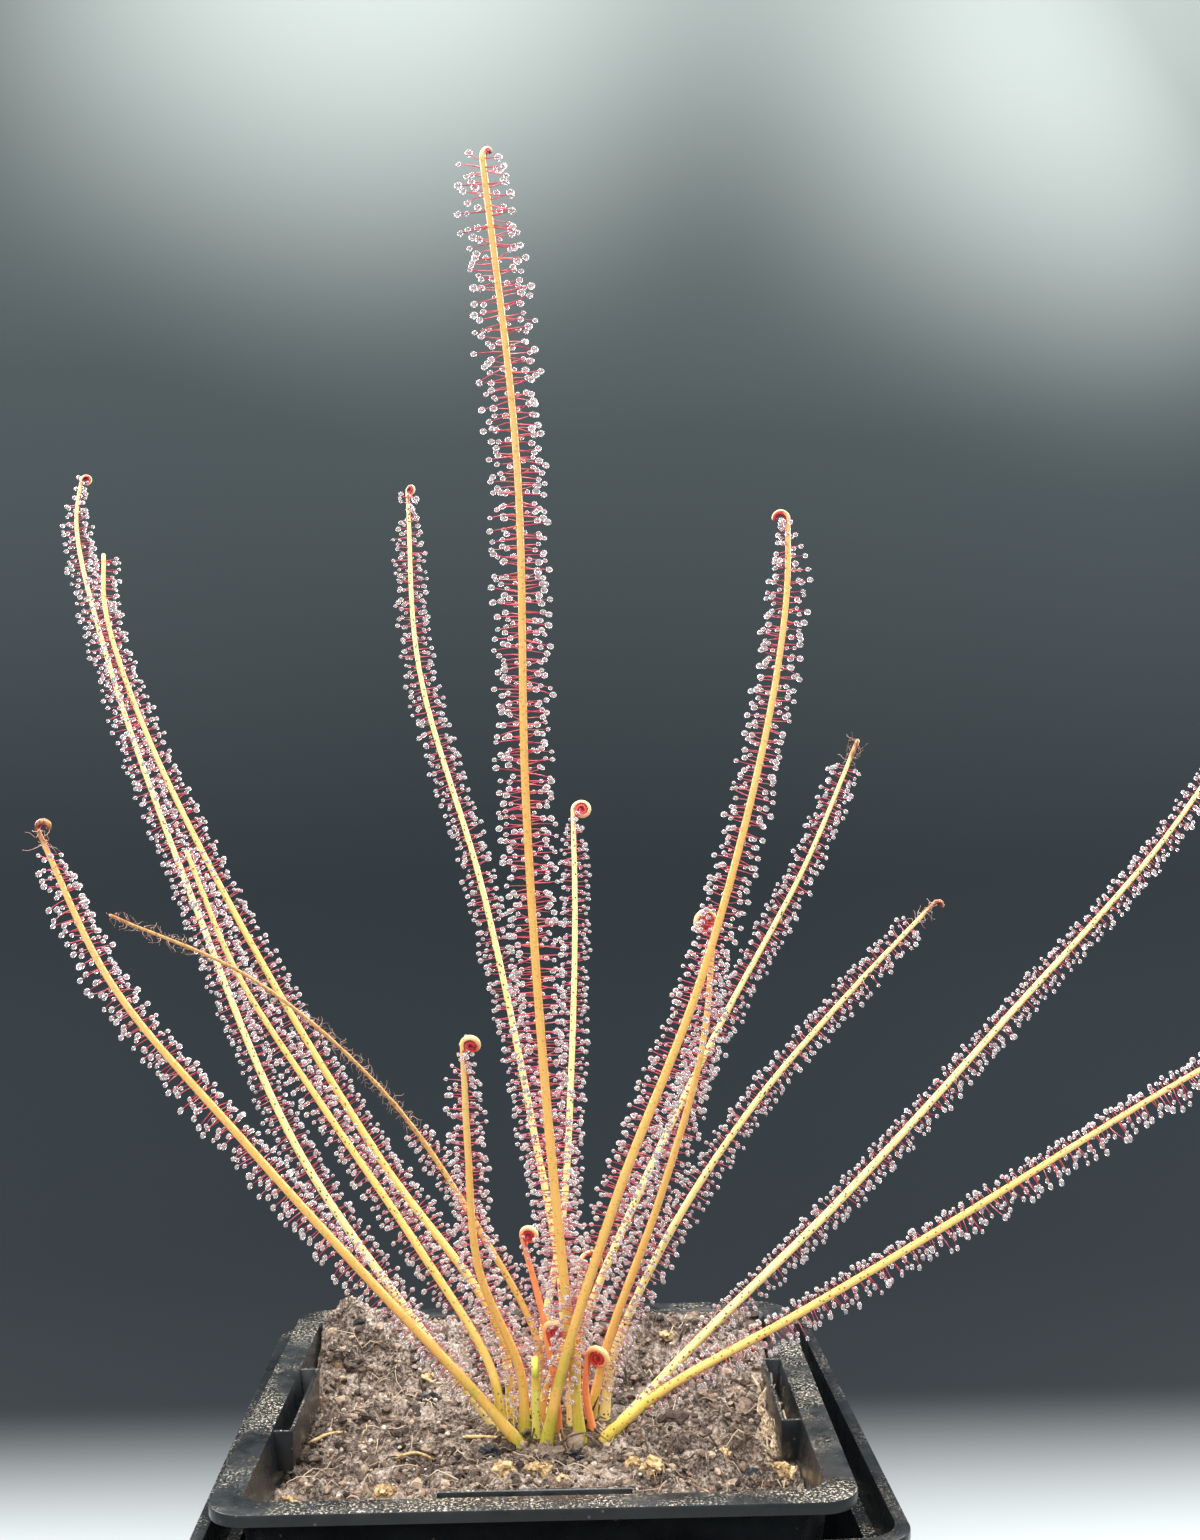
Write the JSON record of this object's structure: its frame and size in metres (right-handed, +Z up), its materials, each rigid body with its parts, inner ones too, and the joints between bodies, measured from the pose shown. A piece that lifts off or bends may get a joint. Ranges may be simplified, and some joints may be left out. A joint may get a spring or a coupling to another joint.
{
  "type": "potted sundew plant",
  "caption": "Thread-leaved sundew: slim upright and spreading leaves with dew-tipped tentacles and coiled young tips, growing from peat in a square nursery pot set in a larger square pot.",
  "frame": {"origin": "centre of the outer pot's flat underside", "axes": "+Z up through the plant, -Y towards the front that the picture shows, +X to the right"},
  "size_m": [0.2237, 0.1285, 0.2649],
  "materials": {
    "outer_pot": "black moulded plastic, satin, faintly dusty",
    "inner_pot": "black moulded plastic, satin, with pale mineral dust on the rim",
    "soil": "damp brown peat with pale grains and yellow pumice chips",
    "crown": "fibrous brown rootstock",
    "leaf": "smooth translucent yellow to orange leaf with red-stalked tentacles and clear dew",
    "young_leaf": "smooth coral and yellow-green young leaf, red inside its coil"
  },
  "bodies": {
    "root": {"outer_pot": "outer_pot", "inner_pot": "inner_pot", "soil": "soil", "crown": "crown", "leaf_01": "leaf", "leaf_02": "leaf", "leaf_03": "leaf", "leaf_04": "leaf", "leaf_05": "leaf", "leaf_06": "leaf", "leaf_07": "leaf", "leaf_08": "leaf", "leaf_09": "leaf", "leaf_10": "leaf", "leaf_11": "leaf", "leaf_12": "leaf", "leaf_13": "leaf", "leaf_14": "leaf", "leaf_15": "leaf", "young_leaf_1": "young_leaf", "young_leaf_2": "young_leaf", "young_leaf_3": "young_leaf", "young_leaf_4": "young_leaf", "young_leaf_5": "young_leaf", "young_leaf_6": "young_leaf", "young_leaf_7": "young_leaf"}
  },
  "joints": []
}
